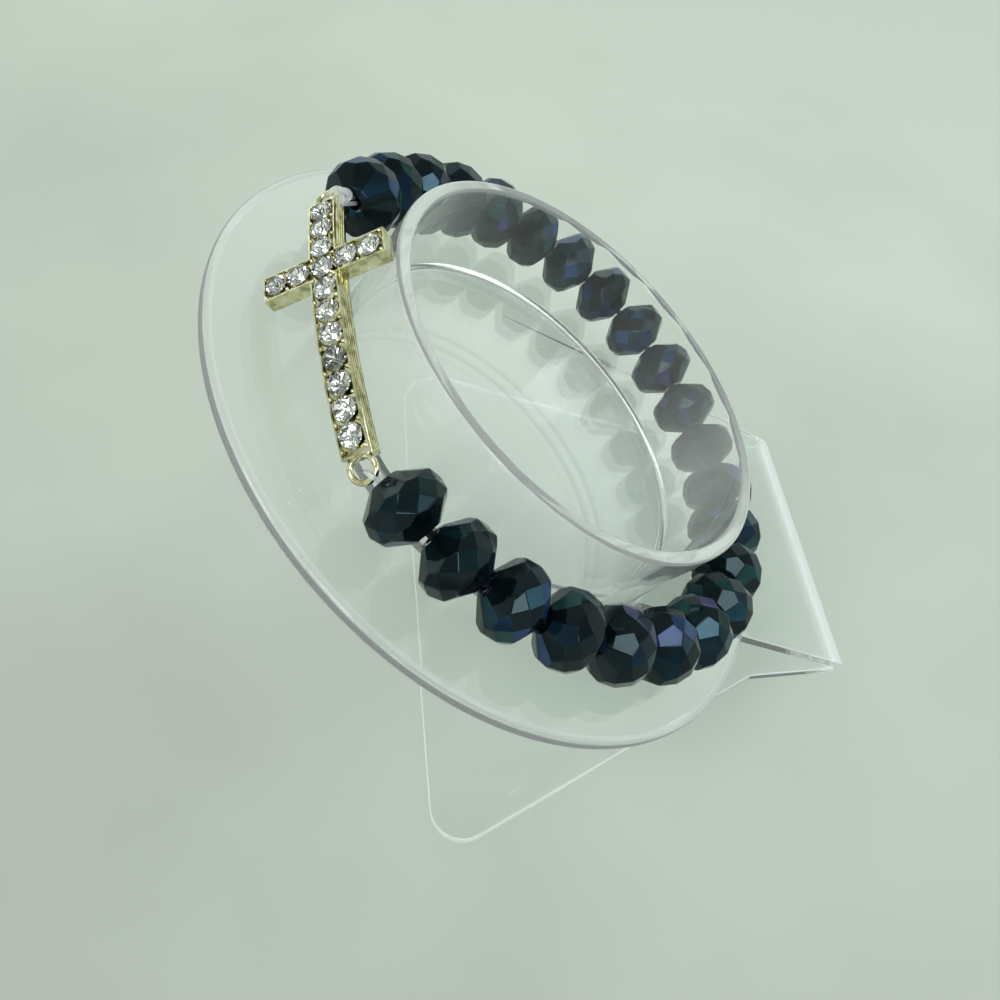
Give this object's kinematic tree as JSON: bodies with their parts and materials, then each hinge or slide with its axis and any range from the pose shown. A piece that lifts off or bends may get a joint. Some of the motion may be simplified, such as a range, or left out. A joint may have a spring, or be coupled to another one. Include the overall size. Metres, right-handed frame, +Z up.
{
  "type": "beaded bracelet on display stand",
  "caption": "Stretch bracelet of faceted black glass beads with a curved sideways cross set with clear stones, lying round the crown of a slanted clear display stand.",
  "frame": {"origin": "middle of the footprint of the whole part, on the surface that the foot stands on", "axes": "+Z up, +X toward the fold at the foot's front where the crown is low, -X toward the cross on the high side, +Y completes the right-handed frame"},
  "size_m": [0.078, 0.0764, 0.0611],
  "materials": {
    "bead_glass": "polished opaque black glass, faceted, with blue and green glints",
    "clear_stone": "polished colourless cut stone",
    "cross_metal": "polished pale gold plating",
    "clear_elastic": "clear slightly milky stretch cord",
    "clear_acrylic": "clear polished acrylic with a faint green tint"
  },
  "bodies": {
    "root": {"bead_01": "bead_glass", "bead_02": "bead_glass", "bead_03": "bead_glass", "bead_04": "bead_glass", "bead_05": "bead_glass", "bead_06": "bead_glass", "bead_07": "bead_glass", "bead_08": "bead_glass", "bead_09": "bead_glass", "bead_10": "bead_glass", "bead_11": "bead_glass", "bead_12": "bead_glass", "bead_13": "bead_glass", "bead_14": "bead_glass", "bead_15": "bead_glass", "bead_16": "bead_glass", "bead_17": "bead_glass", "bead_18": "bead_glass", "bead_19": "bead_glass", "bead_20": "bead_glass", "bead_21": "bead_glass", "bead_22": "bead_glass", "bead_23": "bead_glass", "arm_stone_01": "clear_stone", "arm_stone_02": "clear_stone", "arm_stone_03": "clear_stone", "arm_stone_04": "clear_stone", "arm_stone_05": "clear_stone", "arm_stone_06": "clear_stone", "arm_stone_07": "clear_stone", "arm_stone_08": "clear_stone", "arm_stone_09": "clear_stone", "arm_stone_10": "clear_stone", "arm_stone_11": "clear_stone", "bar_stone_1": "clear_stone", "bar_stone_2": "clear_stone", "bar_stone_3": "clear_stone", "bar_stone_4": "clear_stone", "cross_frame": "cross_metal", "elastic_cord": "clear_elastic", "stand_crown": "clear_acrylic", "stand_foot": "clear_acrylic"}
  },
  "joints": []
}
